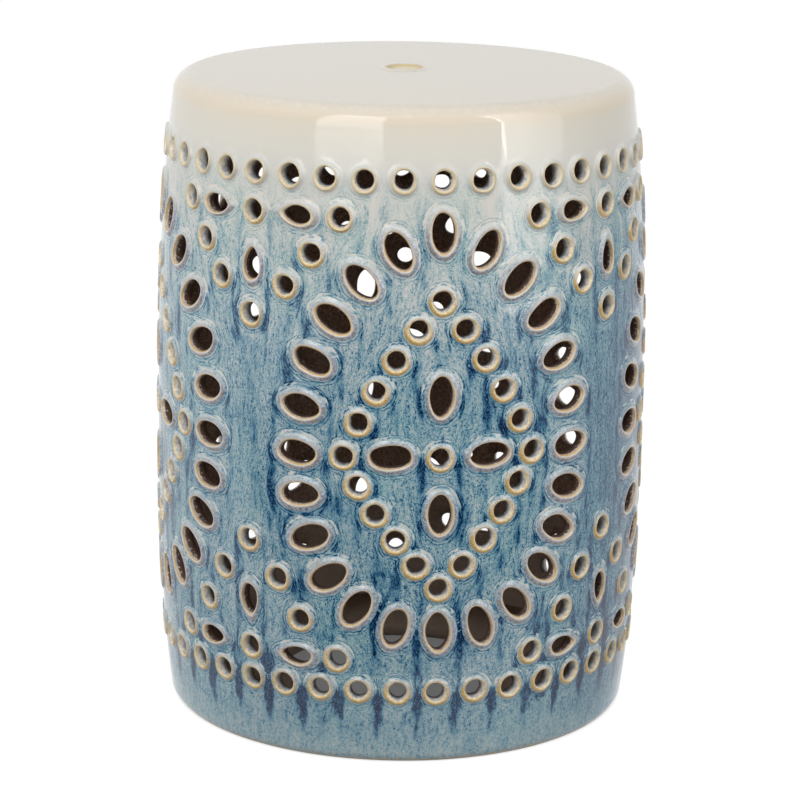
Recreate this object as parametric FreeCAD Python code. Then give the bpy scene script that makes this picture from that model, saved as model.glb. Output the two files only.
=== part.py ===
import FreeCAD, Part
import math
import os

from FreeCAD import Vector

# Ceramic garden stool: a pierced, barrel-shaped drum in glazed stoneware.
# All sizes are in millimetres. The axis of the drum is Z, the foot stands on
# z = 0, and the middle of one medallion faces -Y. The other medallions are at
# quarter turns from it. Angles are in degrees, from -Y towards +X.

# Overall sizes
HEIGHT = 457.2
FOOT_RADIUS = 164.6
BELLY_RADIUS = 175.6
SHOULDER_RADIUS = 162.1

# Levels up the drum: where its pieces meet, and where its slope changes
WALL_BOTTOM = 34.0
LOWER_BEND = 95.0
BELLY_LEVEL = 175.0
UPPER_BEND = 325.0
WALL_TOP = 420.0

# How sharply the drum draws in below its belly and above it
LOWER_POWER = 2.4
UPPER_POWER = 3.0

# Thicknesses
WALL = 8.4
FOOT_WALL = 12.0
SEAT_THICKNESS = 14.0
FLOOR_THICKNESS = 11.0

# Foot: the drum stands on a flat ring, turned back a little at its outer edge
FOOT_TURN_BACK = 3.0
FOOT_BEVEL_HEIGHT = 4.0

# Floor: a ring inside the foot, open in the middle
FLOOR_LEVEL = 5.0
FLOOR_OPENING = 166.0

# Seat: a low crown, a rolled shoulder, and a finger hole with its own collar
SHOULDER_ROLL = 13.5
ROLL_FACETS = 3
SEAT_CROWN = 2.2
CENTRE_LAND = 20.0
FINGER_HOLE = 25.0
COLLAR_HEIGHT = 1.8
COLLAR_FOOT = 18.0
COLLAR_CREST = 15.5
COLLAR_MOUTH = 14.0
COLLAR_SIDES = 16
SEAT_PILOT = 8.0
SEAT_TOP = HEIGHT - COLLAR_HEIGHT
SEAT_EDGE = SEAT_TOP - SEAT_CROWN
SHOULDER_LEVEL = SEAT_EDGE - SHOULDER_ROLL

# The round is drawn with forty flat sides, one to each hole of the top row.
SIDES = 40

# Openings: half their length, half their width, and how many corners they have
ROUND_HOLE = (6.2, 6.2)
OVAL = (13.5, 8.0)
CROSS_OVAL = (13.5, 7.2)
DROP = (10.0, 5.6)
ROUND_CORNERS = 6
OVAL_CORNERS = 8
DROP_CORNERS = 6
DROP_SHOULDER = 65.0

# The bars that cut the openings reach between these distances from the axis
CUT_FROM = 130.0
CUT_TO = 190.0

# Rows of round holes along the top and the bottom of the pierced wall
ROW_COUNT = 40
TOP_ROW_LEVEL = 406.0
BOTTOM_ROW_LEVEL = 53.0

# Medallions: an upright egg of ovals, a diamond of round holes and a cross
MEDALLIONS = 4
MEDALLION_LEVEL = 220.0
ARC_PER_DEGREE = 3.04
EGG_HALF_ANGLE = 32.6
EGG_RISE = 151.0
EGG_DROP = 123.0
EGG_TOP_POWER = 0.607
EGG_BOTTOM_POWER = 0.41
EGG_STEPS = 6
DIAMOND_HALF_ANGLE = 21.7
DIAMOND_RISE = 106.0
DIAMOND_DROP = 92.0
DIAMOND_POWER = 1.15
DIAMOND_STEPS = 5
CROSS_RISE = 41.7
CROSS_DROP = 39.0
CROSS_ANGLE = 11.0

# How finely the egg and the diamond are drawn before holes are spaced on them
CURVE_STEPS = 200
TOUCH = 1e-9

# Between two medallions: round holes (angle from the middle line, level), and
# drop-shaped holes (angle, level, direction of the pointed end)
SPANDREL_ROUNDS = [
    (0.0, 380.0), (21.7, 380.5), (15.0, 355.0), (8.9, 332.5), (0.0, 310.0),
    (0.0, 153.0), (7.7, 129.0), (13.2, 102.0), (0.0, 75.0), (22.0, 75.5),
]
SPANDREL_DROPS = [
    (11.3, 380.0, 180.0), (0.0, 345.0, 90.0),
    (0.0, 108.0, -90.0), (12.0, 74.5, 180.0),
]


def barrel_radius(z):
    """Outer radius of the drum at height z, over the collars of its holes."""
    if z < BELLY_LEVEL:
        share = (BELLY_LEVEL - z) / BELLY_LEVEL
        return BELLY_RADIUS - (BELLY_RADIUS - FOOT_RADIUS) * share ** LOWER_POWER
    share = (z - BELLY_LEVEL) / (SHOULDER_LEVEL - BELLY_LEVEL)
    return BELLY_RADIUS - (BELLY_RADIUS - SHOULDER_RADIUS) * share ** UPPER_POWER


def hoop_inside(z):
    """Inner radius of the hoop, which is thickest at the foot."""
    top = barrel_radius(WALL_BOTTOM) - WALL
    foot = FOOT_RADIUS - FOOT_WALL
    return foot + (top - foot) * z / WALL_BOTTOM


def corner(point, side, sides):
    """A corner of the flat-sided round whose sides touch a circle."""
    radius, z = point
    angle = (side + 0.5) * 2.0 * math.pi / sides
    reach = radius / math.cos(math.pi / sides)
    return Vector(reach * math.cos(angle), reach * math.sin(angle), z)


def turned(profile, sides=SIDES):
    """Ring with flat sides, from a closed outline of (radius, z) points."""
    faces = []
    for side in range(sides):
        for start, end in zip(profile, profile[1:] + profile[:1]):
            loop = [
                corner(start, side, sides),
                corner(start, side + 1, sides),
                corner(end, side + 1, sides),
                corner(end, side, sides),
            ]
            faces.append(Part.Face(Part.makePolygon(loop + loop[:1])))
    solid = Part.makeSolid(Part.makeShell(faces))
    if solid.Volume < 0.0:
        solid.reverse()
    return solid.removeSplitter()


def turn_point(across, up, degrees):
    """A point of an outline, turned about the outline's middle."""
    angle = math.radians(degrees)
    return (
        across * math.cos(angle) - up * math.sin(angle),
        across * math.sin(angle) + up * math.cos(angle),
    )


def oval_outline(size, corners, degrees):
    """Oval of straight cuts, as large in area as the ellipse it stands for."""
    part = 2.0 * math.pi / corners
    swell = math.sqrt(part / math.sin(part))
    outline = []
    for index in range(corners):
        angle = (index + 0.5) * part
        across = size[0] * swell * math.cos(angle)
        up = size[1] * swell * math.sin(angle)
        outline.append(turn_point(across, up, degrees))
    return outline


def drop_outline(size, corners, degrees):
    """Drop of straight cuts: one pointed end, and a round end opposite."""
    length, width = size
    outline = [turn_point(length, 0.0, degrees)]
    first = math.radians(DROP_SHOULDER)
    step = (2.0 * math.pi - 2.0 * first) / (corners - 2)
    for index in range(corners - 1):
        angle = first + index * step
        across = width - length + width * math.cos(angle)
        outline.append(turn_point(across, width * math.sin(angle), degrees))
    return outline


def spaced(curve, steps):
    """Points at equal spacing along a curve of (degrees, level) points."""
    reach = [0.0]
    for start, end in zip(curve, curve[1:]):
        across = (end[0] - start[0]) * ARC_PER_DEGREE
        reach.append(reach[-1] + math.hypot(across, end[1] - start[1]))
    points = []
    for index in range(steps + 1):
        target = reach[-1] * index / steps
        passed = [i for i in range(len(reach) - 1) if reach[i] <= target + TOUCH]
        place = passed[-1]
        share = (target - reach[place]) / (reach[place + 1] - reach[place])
        start, end = curve[place], curve[place + 1]
        points.append((
            start[0] + share * (end[0] - start[0]),
            start[1] + share * (end[1] - start[1]),
        ))
    return points


def egg_half(rise, power):
    """One half of the egg, from its tip to its widest place."""
    curve = []
    for index in range(CURVE_STEPS + 1):
        lift = math.cos(math.pi / 2.0 * index / CURVE_STEPS)
        width = EGG_HALF_ANGLE * (1.0 - lift ** 2) ** power
        curve.append((width, MEDALLION_LEVEL + rise * lift))
    return curve


def diamond_half(rise):
    """One half of the diamond, from its tip to its widest place."""
    curve = []
    for index in range(CURVE_STEPS + 1):
        lift = 1.0 - index / CURVE_STEPS
        width = DIAMOND_HALF_ANGLE * (1.0 - lift ** DIAMOND_POWER) ** (1.0 / DIAMOND_POWER)
        curve.append((width, MEDALLION_LEVEL + rise * lift))
    return curve


def both_sides(degrees, level, make_outline, tilt):
    """An opening, and its mirror image if it is off the middle line."""
    pair = [(degrees, level, make_outline(tilt))]
    if degrees > TOUCH:
        pair.append((-degrees, level, make_outline(180.0 - tilt)))
    return pair


def round_outline(tilt):
    """Round hole, with its corners in the same places whatever the tilt."""
    return oval_outline(ROUND_HOLE, ROUND_CORNERS, 0.0)


def egg_outline(tilt):
    return oval_outline(OVAL, OVAL_CORNERS, tilt)


def cross_outline(tilt):
    return oval_outline(CROSS_OVAL, OVAL_CORNERS, tilt)


def drop_shape(tilt):
    return drop_outline(DROP, DROP_CORNERS, tilt)


def outward_slope(ring, index):
    """Direction square to a ring of points, at one of them, in degrees."""
    if index == 0:
        return 90.0
    if index == len(ring) - 1:
        return -90.0
    before, after = ring[index - 1], ring[index + 1]
    across = (after[0] - before[0]) * ARC_PER_DEGREE
    up = after[1] - before[1]
    return math.degrees(math.atan2(across, -up))


def egg_openings():
    """Openings of the outer ring: (degrees, level, outline)."""
    upper = spaced(egg_half(EGG_RISE, EGG_TOP_POWER), EGG_STEPS)
    lower = spaced(egg_half(-EGG_DROP, EGG_BOTTOM_POWER), EGG_STEPS)
    ring = upper + lower[::-1][1:]
    openings = []
    for index, (degrees, level) in enumerate(ring):
        openings += both_sides(degrees, level, egg_outline, outward_slope(ring, index))
    return openings


def diamond_openings():
    """Openings of the inner diamond."""
    upper = spaced(diamond_half(DIAMOND_RISE), DIAMOND_STEPS)
    lower = spaced(diamond_half(-DIAMOND_DROP), DIAMOND_STEPS)
    openings = []
    for degrees, level in upper + lower[:-1]:
        openings += both_sides(degrees, level, round_outline, 0.0)
    return openings


def cross_openings():
    """A round hole with an oval above, below and on each side."""
    openings = [
        (0.0, MEDALLION_LEVEL, round_outline(0.0)),
        (0.0, MEDALLION_LEVEL + CROSS_RISE, cross_outline(90.0)),
        (0.0, MEDALLION_LEVEL - CROSS_DROP, cross_outline(90.0)),
    ]
    return openings + both_sides(CROSS_ANGLE, MEDALLION_LEVEL, cross_outline, 0.0)


def spandrel_openings():
    """Openings between two medallions, from the middle line of the gap."""
    openings = []
    for degrees, level in SPANDREL_ROUNDS:
        openings += both_sides(degrees, level, round_outline, 0.0)
    for degrees, level, point_to in SPANDREL_DROPS:
        openings += both_sides(degrees, level, drop_shape, point_to)
    middle = 180.0 / MEDALLIONS
    return [(middle + side, level, outline) for side, level, outline in openings]


def row_openings():
    """Both rows of round holes."""
    openings = []
    for index in range(ROW_COUNT):
        degrees = 360.0 * index / ROW_COUNT
        openings.append((degrees, TOP_ROW_LEVEL, round_outline(0.0)))
        openings.append((degrees, BOTTOM_ROW_LEVEL, round_outline(0.0)))
    return openings


def cutter(degrees, level, outline):
    """Straight-sided bar that cuts one opening square to the wall."""
    angle = math.radians(degrees)
    outward = Vector(math.sin(angle), -math.cos(angle), 0.0)
    across = Vector(math.cos(angle), math.sin(angle), 0.0)
    loop = []
    for side, up in outline:
        loop.append(outward * CUT_FROM + across * side + Vector(0.0, 0.0, level + up))
    face = Part.Face(Part.makePolygon(loop + loop[:1]))
    return face.extrude(outward * (CUT_TO - CUT_FROM))


def make_pierced_wall():
    """Drum wall, with every opening of the pattern cut through it."""
    levels = [WALL_BOTTOM, LOWER_BEND, BELLY_LEVEL, UPPER_BEND, WALL_TOP]
    outside = [(barrel_radius(z), z) for z in levels]
    inside = [(barrel_radius(z) - WALL, z) for z in (WALL_TOP, BELLY_LEVEL, WALL_BOTTOM)]
    openings = row_openings()
    panel = egg_openings() + diamond_openings() + cross_openings() + spandrel_openings()
    for medallion in range(MEDALLIONS):
        turn = 360.0 * medallion / MEDALLIONS
        openings += [(turn + side, level, outline) for side, level, outline in panel]
    cutters = [cutter(side, level, outline) for side, level, outline in openings]
    return turned(outside + inside).cut(cutters).Solids[0]


def make_seat_cap():
    """Seat with its rolled shoulder and short skirt, as a shallow lid."""
    middle = SHOULDER_RADIUS - SHOULDER_ROLL
    profile = [(barrel_radius(WALL_TOP), WALL_TOP)]
    for index in range(ROLL_FACETS + 1):
        angle = math.pi / 2.0 * index / ROLL_FACETS
        profile.append((
            middle + SHOULDER_ROLL * math.cos(angle),
            SHOULDER_LEVEL + SHOULDER_ROLL * math.sin(angle),
        ))
    profile += [
        (CENTRE_LAND, SEAT_TOP),
        (SEAT_PILOT, SEAT_TOP),
        (SEAT_PILOT, SEAT_TOP - SEAT_THICKNESS),
        (middle - SEAT_CROWN, SEAT_EDGE - SEAT_THICKNESS),
        (barrel_radius(WALL_TOP) - WALL, WALL_TOP),
    ]
    hole = Part.makeCylinder(FINGER_HOLE / 2.0, HEIGHT)
    return turned(profile).cut(hole).Solids[0]


def make_finger_hole_collar():
    """Raised ring round the finger hole, its mouth a little wider than the hole."""
    profile = [
        (COLLAR_FOOT, SEAT_TOP),
        (COLLAR_CREST, HEIGHT),
        (COLLAR_MOUTH, HEIGHT),
        (COLLAR_MOUTH, SEAT_TOP),
    ]
    return turned(profile, COLLAR_SIDES)


def make_base_hoop():
    """Plain hoop under the pierced wall, down to the foot."""
    profile = [
        (FOOT_RADIUS - FOOT_TURN_BACK, 0.0),
        (barrel_radius(FOOT_BEVEL_HEIGHT), FOOT_BEVEL_HEIGHT),
        (barrel_radius(WALL_BOTTOM), WALL_BOTTOM),
        (hoop_inside(WALL_BOTTOM), WALL_BOTTOM),
        (hoop_inside(0.0), 0.0),
    ]
    return turned(profile)


def make_floor_ring():
    """Ring-shaped floor that ties the hoop, open in the middle."""
    top = FLOOR_LEVEL + FLOOR_THICKNESS
    profile = [
        (hoop_inside(FLOOR_LEVEL), FLOOR_LEVEL),
        (hoop_inside(top), top),
        (FLOOR_OPENING / 2.0, top),
        (FLOOR_OPENING / 2.0, FLOOR_LEVEL),
    ]
    return turned(profile)


PIECES = {
    "seat_cap": make_seat_cap,
    "finger_hole_collar": make_finger_hole_collar,
    "pierced_wall": make_pierced_wall,
    "base_hoop": make_base_hoop,
    "floor_ring": make_floor_ring,
}


def main():
    os.makedirs("parts", exist_ok=True)
    for name, make in PIECES.items():
        solid = make()
        if not solid.isValid():
            raise ValueError(name + " is not a valid solid")
        solid.exportStep("parts/" + name + ".step")
        print(name, "volume", round(solid.Volume / 1000.0, 1), "cm3")


main()
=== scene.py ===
import math

import bmesh
import bpy
import numpy as np
from mathutils import Matrix, Vector, geometry, kdtree


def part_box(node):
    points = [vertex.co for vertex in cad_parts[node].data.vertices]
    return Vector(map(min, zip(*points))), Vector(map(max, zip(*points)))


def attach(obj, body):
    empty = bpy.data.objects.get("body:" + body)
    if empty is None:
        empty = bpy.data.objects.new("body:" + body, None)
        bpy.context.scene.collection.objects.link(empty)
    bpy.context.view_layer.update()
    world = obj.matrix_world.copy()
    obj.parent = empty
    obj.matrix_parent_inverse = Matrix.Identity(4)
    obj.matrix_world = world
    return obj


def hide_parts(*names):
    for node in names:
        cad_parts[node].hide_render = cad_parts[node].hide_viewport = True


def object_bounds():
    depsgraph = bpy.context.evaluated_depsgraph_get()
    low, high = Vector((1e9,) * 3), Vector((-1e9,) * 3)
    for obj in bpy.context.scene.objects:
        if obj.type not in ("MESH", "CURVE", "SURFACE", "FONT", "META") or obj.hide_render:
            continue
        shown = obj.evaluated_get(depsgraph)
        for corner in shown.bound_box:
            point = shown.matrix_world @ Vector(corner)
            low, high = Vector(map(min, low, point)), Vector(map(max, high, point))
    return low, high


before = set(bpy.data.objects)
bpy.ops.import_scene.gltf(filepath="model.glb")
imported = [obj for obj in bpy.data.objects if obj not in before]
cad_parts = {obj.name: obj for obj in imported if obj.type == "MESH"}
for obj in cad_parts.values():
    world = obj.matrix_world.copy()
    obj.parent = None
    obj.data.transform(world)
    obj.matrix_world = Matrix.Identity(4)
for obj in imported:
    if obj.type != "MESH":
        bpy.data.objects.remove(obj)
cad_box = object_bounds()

# Ceramic garden stool with a running blue glaze. The script works in
# millimetres and degrees, and every mesh is scaled to metres when it is made.
# Angles go round the drum from -Y towards +X, so the middle of the first
# medallion is at angle 0.
MM = 0.001
rng = np.random.default_rng(4186)

# Sizes that the frame gives
node_box = {
    name: [[c / MM for c in corner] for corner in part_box(name)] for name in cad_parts
}
HEIGHT = cad_box[1][2] / MM
WALL_BOTTOM = node_box["pierced_wall"][0][2]
WALL_TOP = node_box["pierced_wall"][1][2]
CREST_RADIUS = node_box["pierced_wall"][1][0]
COLLAR_FOOT = node_box["finger_hole_collar"][1][0]
SEAT_TOP = node_box["finger_hole_collar"][0][2]
FLOOR_LEVEL = node_box["floor_ring"][0][2]
FLOOR_TOP = node_box["floor_ring"][1][2]

# Barrel shape of the bare wall
FOOT_RADIUS = 164.6
SHOULDER_RADIUS = 162.1
RELIEF = 1.5
BELLY_RADIUS = CREST_RADIUS - RELIEF - 0.3
BELLY_LEVEL = 175.0
LOWER_POWER = 2.4
UPPER_POWER = 3.0
WALL = 7.0
FOOT_WALL = 12.0
SHOULDER_ROLL = 13.5
SEAT_CROWN = 2.2
SEAT_EDGE = SEAT_TOP - SEAT_CROWN
SHOULDER_LEVEL = SEAT_EDGE - SHOULDER_ROLL
SEAT_THICKNESS = 14.0
CENTRE_LAND = 20.0
FINGER_HOLE_RADIUS = 12.5
FLOOR_OPENING_RADIUS = 83.0
# Towards the top the collars stand taller
TALLER_FROM, TALLER_OVER, TALLER_BY = 320.0, 70.0, 0.6

# Unevenness of the hand work: size, waves round the drum, lean and start of each
# wave of the wall, how far they lie inside it, and how far a collar and its hole
# are out in size, shape, tilt, place and middle
WAVES = [(0.14, 3.0, 0.013, 0.0), (0.1, 7.0, -0.03, 1.0), (0.06, 13.0, 0.05, 2.0)]
WAVE_INSET = 0.1
SIZE_ERROR, SHAPE_ERROR, TILT_ERROR, PLACE_ERROR, LIP_ERROR = 0.02, 0.013, 2.0, 0.25, 0.3

# Openings: half length and half width of the hole at its lip, and of the foot
# of the raised collar round it
SIZES = {
    "round": ((6.8, 6.8), (10.6, 10.6)),
    "oval": ((13.5, 8.0), (18.7, 13.0)),
    "cross": ((13.9, 7.9), (18.4, 12.4)),
    "drop": ((10.4, 6.3), (17.6, 10.6)),
}
RING_POINTS = {"round": 26, "oval": 38, "cross": 38, "drop": 38}
DROP_WIDEN, DROP_LIP_SHIFT = 1.07, 0.8
DROP_LIP_POINT, DROP_FOOT_POINT = 0.3, 0.5

# Rows of holes, medallions and the gaps between them
ROW_COUNT = 40
TOP_ROW_LEVEL = 406.0
BOTTOM_ROW_LEVEL = 53.0
MEDALLIONS = 4
MEDALLION_LEVEL = 220.0
ARC_PER_DEGREE = 3.04
EGG_HALF_ANGLE = 32.6
EGG_RISE = 151.0
EGG_DROP = 123.0
EGG_TOP_POWER = 0.607
EGG_BOTTOM_POWER = 0.41
EGG_STEPS = 6
DIAMOND_HALF_ANGLE = 21.7
DIAMOND_RISE = 106.0
DIAMOND_DROP = 92.0
DIAMOND_POWER = 1.15
DIAMOND_STEPS = 5
CROSS_RISE = 41.7
CROSS_DROP = 39.0
CROSS_ANGLE = 11.0
SPANDREL_ROUNDS = [
    (0, 380), (21.7, 380.5), (15, 355), (8.9, 332.5), (0, 310),
    (0, 153), (7.7, 129), (13.2, 102), (0, 75), (22, 75.5),
]
SPANDREL_DROPS = [(11.3, 380, 180), (0, 345, 90), (0, 108, -90), (12, 74.5, 180)]

# Mesh: steps round a quarter of the drum, spacing of the points between the
# collars, and an upright line that passes no opening, where the sheet is joined
QUARTER_STEPS = 96
STEPS = QUARTER_STEPS * MEDALLIONS
INNER_STEPS = 24
FLOOR_RING_STEPS = 128
COLLAR_STEPS = 96
FINE_SPACING = 2.5
INNER_SPACING = 11.0
JOIN_ANGLE = 48.95

# Runs of dark glaze: length below a collar, width at the top, how much narrower and
# farther out they end, the drop over which they begin, and the most where they meet
RUN_LENGTH, RUN_WIDTH, RUN_TAPER, RUN_SPREAD = 28.0, 4.3, 2.6, 3.0
RUN_START, RUN_MOST = 12.0, 1.3
# How fast a collar's push on the glaze fades, the collar's size in it as a share of
# its own, and how many spots are worked out at once
PUSH_FADE, PUSH_SIZE, SPOTS_AT_ONCE = 1.6, 1.04, 4096
# On the seat, distance from the collars, and how far up their glaze still reaches
FAR_CLEAR, SEAT_REACH = 50.0, 15.0

# Camera
CAMERA_DISTANCE = 2116.5
CAMERA_HEIGHT = 770.6
CAMERA_ANGLE = -9.3
CAMERA_PITCH = 0.257
CAMERA_ROLL = 0.0137
FOCAL_PIXELS = 3031.3
FRAME_PIXELS = 800.0
SENSOR = 36.0

PER_RADIAN = ARC_PER_DEGREE * 180.0 / math.pi
FULL_TURN = 360.0 * ARC_PER_DEGREE
LEFT_END = (JOIN_ANGLE - 360.0) * ARC_PER_DEGREE

# What the glaze reads at each vertex: share of the way up the collar, distance
# outside its foot, depth in the hole, whether the spot is under a collar (1) or
# over it (-1), whether it is right (1) or left (-1) of it, how much dark glaze
# runs over it, whether the nearest opening is a small round one, and how far the
# collars push the running glaze sideways
VALUES = ["rise", "clear", "depth", "under", "across", "run", "small", "bend"]
GLAZED, RAW = 0, 1


def bare_radius(z):
    """Outer radius of the wall between its collars, at heights z."""
    z = np.asarray(z, dtype=float)
    low = np.clip((BELLY_LEVEL - z) / BELLY_LEVEL, 0.0, None)
    high = np.clip((z - BELLY_LEVEL) / (SHOULDER_LEVEL - BELLY_LEVEL), 0.0, None)
    drop = (BELLY_RADIUS - FOOT_RADIUS) * low ** LOWER_POWER
    return BELLY_RADIUS - drop - (BELLY_RADIUS - SHOULDER_RADIUS) * high ** UPPER_POWER


def inner_radius(z):
    return bare_radius(z) - WALL


def hoop_inside(z):
    """Inner radius of the hoop, which is thickest at the foot."""
    foot = FOOT_RADIUS - FOOT_WALL
    return foot + (float(inner_radius(WALL_BOTTOM)) - foot) * z / WALL_BOTTOM


def hand_made(angle, z):
    """Slight unevenness of a thrown wall, in millimetres."""
    total = 0.0
    for size, count, lean, start in WAVES:
        total = total + size * np.sin(count * angle + lean * z + start)
    return total - WAVE_INSET


def around(angle, radius, level):
    """Points at angles round the axis, at radii and levels."""
    return np.stack([radius * np.sin(angle), -radius * np.cos(angle), level], 1)


def shortest(across):
    """A distance round the drum, by the shorter way."""
    return (across + FULL_TURN / 2.0) % FULL_TURN - FULL_TURN / 2.0


# The pattern of openings, as (degrees, level, kind, tilt)


def spaced(curve, steps):
    """Points at equal spacing along a curve of (degrees, level) points."""
    curve = np.array(curve)
    across = np.diff(curve[:, 0]) * ARC_PER_DEGREE
    reach = np.concatenate([[0.0], np.cumsum(np.hypot(across, np.diff(curve[:, 1])))])
    targets = np.linspace(0.0, reach[-1], steps + 1)
    sides = np.interp(targets, reach, curve[:, 0])
    return list(zip(sides, np.interp(targets, reach, curve[:, 1])))


def egg_half(rise, power):
    lift = np.cos(np.linspace(0.0, math.pi / 2.0, 201))
    width = EGG_HALF_ANGLE * (1.0 - lift ** 2) ** power
    return list(zip(width, MEDALLION_LEVEL + rise * lift))


def diamond_half(rise):
    lift = np.linspace(1.0, 0.0, 201)
    width = DIAMOND_HALF_ANGLE * (1.0 - lift ** DIAMOND_POWER) ** (1.0 / DIAMOND_POWER)
    return list(zip(width, MEDALLION_LEVEL + rise * lift))


def outward_slope(ring, index):
    if index == 0:
        return 90.0
    if index == len(ring) - 1:
        return -90.0
    across = (ring[index + 1][0] - ring[index - 1][0]) * ARC_PER_DEGREE
    up = ring[index + 1][1] - ring[index - 1][1]
    return math.degrees(math.atan2(across, -up))


def both_sides(degrees, level, kind, tilt):
    """An opening, and its mirror image if it is off the middle line."""
    pair = [(degrees, level, kind, tilt)]
    if degrees > 0.01:
        pair.append((-degrees, level, kind, 180.0 - tilt))
    return pair


def quarter_pattern():
    """Openings of one medallion and of the gap beside it."""
    found = []
    ring = spaced(egg_half(EGG_RISE, EGG_TOP_POWER), EGG_STEPS)
    ring += spaced(egg_half(-EGG_DROP, EGG_BOTTOM_POWER), EGG_STEPS)[::-1][1:]
    for index, (degrees, level) in enumerate(ring):
        found += both_sides(degrees, level, "oval", outward_slope(ring, index))
    beads = spaced(diamond_half(DIAMOND_RISE), DIAMOND_STEPS)
    beads += spaced(diamond_half(-DIAMOND_DROP), DIAMOND_STEPS)[:-1]
    for degrees, level in beads:
        found += both_sides(degrees, level, "round", 0.0)
    found.append((0.0, MEDALLION_LEVEL, "round", 0.0))
    found.append((0.0, MEDALLION_LEVEL + CROSS_RISE, "cross", 90.0))
    found.append((0.0, MEDALLION_LEVEL - CROSS_DROP, "cross", 90.0))
    found += both_sides(CROSS_ANGLE, MEDALLION_LEVEL, "cross", 0.0)
    middle = 180.0 / MEDALLIONS
    spandrel = [(side, level, "round", 0.0) for side, level in SPANDREL_ROUNDS]
    spandrel += [(side, level, "drop", point) for side, level, point in SPANDREL_DROPS]
    for opening in spandrel:
        for side, level, kind, tilt in both_sides(*opening):
            found.append((middle + side, level, kind, tilt))
    return found


def whole_pattern():
    found = []
    for index in range(ROW_COUNT):
        for level in (TOP_ROW_LEVEL, BOTTOM_ROW_LEVEL):
            found.append((360.0 * index / ROW_COUNT, level, "round", 0.0))
    for medallion in range(MEDALLIONS):
        turn = 360.0 * medallion / MEDALLIONS
        for side, level, kind, tilt in quarter_pattern():
            found.append((turn + side, level, kind, tilt))
    return found


# One opening and its collar. Rings go from the foot of the collar to the lip
# of the hole: share of the way in, and height as a share of the relief.
COLLAR_RINGS = [
    (0.0, 0.0), (0.15, 0.12), (0.32, 0.56), (0.52, 0.94), (0.72, 1.0), (0.9, 0.72), (1.0, 0.3),
]
# Ring down the hole: depth in millimetres and size, then size at the inner end,
# for the small round holes and for the others
HOLE_RINGS = {True: (1.8, 0.93, 0.88), False: (1.8, 0.985, 0.99)}


def wobble(spread):
    return float(np.clip(rng.normal(0.0, spread), -2.0 * spread, 2.0 * spread))


def outline(kind, t, size, point):
    """An ellipse, or a drop that comes to a point at its first end."""
    x = size[0] * np.cos(t)
    y = size[1] * np.sin(t)
    if kind == "drop":
        y = y * DROP_WIDEN * np.abs(np.sin(t / 2.0)) ** point
    return np.stack([x, y], 1)


def make_opening(degrees, level, kind, tilt):
    """Lip and foot of one collar on the flat sheet, the hole a little out of true."""
    t = 2.0 * math.pi * np.arange(RING_POINTS[kind]) / RING_POINTS[kind]
    swell = 1.0 + wobble(SIZE_ERROR)
    uneven = np.zeros(len(t))
    for wave in (2, 3, 4):
        uneven += wobble(SHAPE_ERROR) * np.cos(wave * t + rng.uniform(0.0, 2.0 * math.pi))
    lip_size, foot_size = SIZES[kind]
    lip = outline(kind, t, lip_size, DROP_LIP_POINT)
    foot = outline(kind, t, foot_size, DROP_FOOT_POINT)
    if kind == "drop":
        lip[:, 0] -= DROP_LIP_SHIFT
    angle = math.radians(tilt + wobble(TILT_ERROR))
    turn = np.array([[math.cos(angle), math.sin(angle)], [-math.sin(angle), math.cos(angle)]])
    slip = np.array([wobble(LIP_ERROR), wobble(LIP_ERROR)])
    degrees = (degrees - JOIN_ANGLE) % 360.0 + JOIN_ANGLE - 360.0
    centre = np.array([degrees * ARC_PER_DEGREE + wobble(PLACE_ERROR), level + wobble(PLACE_ERROR)])
    lip = centre + (lip * (swell * (1.0 + uneven))[:, None]) @ turn + slip
    foot = centre + (foot * (1.0 + 0.5 * uneven)[:, None]) @ turn
    half = np.abs(foot - centre).max(0)
    return {"kind": kind, "centre": centre, "lip": lip, "foot": foot, "half": half}


openings = [make_opening(*opening) for opening in whole_pattern()]
centres = np.array([opening["centre"] for opening in openings])
halves = np.array([opening["half"] for opening in openings])
are_round = np.array([opening["kind"] == "round" for opening in openings])

foot_tree = kdtree.KDTree(3 * sum(len(opening["foot"]) for opening in openings))
for index, opening in enumerate(openings):
    for side, level in opening["foot"]:
        for wrap in (-FULL_TURN, 0.0, FULL_TURN):
            foot_tree.insert(Vector((side + wrap, level, 0.0)), index)
foot_tree.balance()


def dark_run(side, level):
    """How much dark glaze runs over each spot, from the flanks of the collars above."""
    total = np.zeros(len(side))
    for (x, z), (half_width, half_height) in zip(centres, halves):
        across = shortest(side - x)
        below = z - level
        down = np.clip(below / (RUN_LENGTH + half_height), 0.0, 1.0)
        middle = half_width * 1.05 + RUN_SPREAD * down
        flank = np.exp(-((np.abs(across) - middle) / (RUN_WIDTH - RUN_TAPER * down)) ** 2)
        start = np.clip((below + half_height * 0.8) / RUN_START, 0.0, 1.0)
        part = flank * start * np.sqrt(1.0 - down)
        total = np.maximum(total, part) + 0.5 * np.minimum(total, part)
    return np.minimum(total, RUN_MOST)


def side_push(side, level):
    """How far the running glaze is pushed sideways, as a stream is round stones."""
    total = np.zeros(len(side))
    sizes = halves * PUSH_SIZE
    for start in range(0, len(side), SPOTS_AT_ONCE):
        part = slice(start, start + SPOTS_AT_ONCE)
        across = shortest(side[part, None] - centres[None, :, 0])
        up = level[part, None] - centres[None, :, 1]
        reach = (across / sizes[None, :, 0]) ** 2 + (up / sizes[None, :, 1]) ** 2
        total[part] = -np.sum(across / np.maximum(reach, 1.0) ** PUSH_FADE, 1)
    return total


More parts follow.
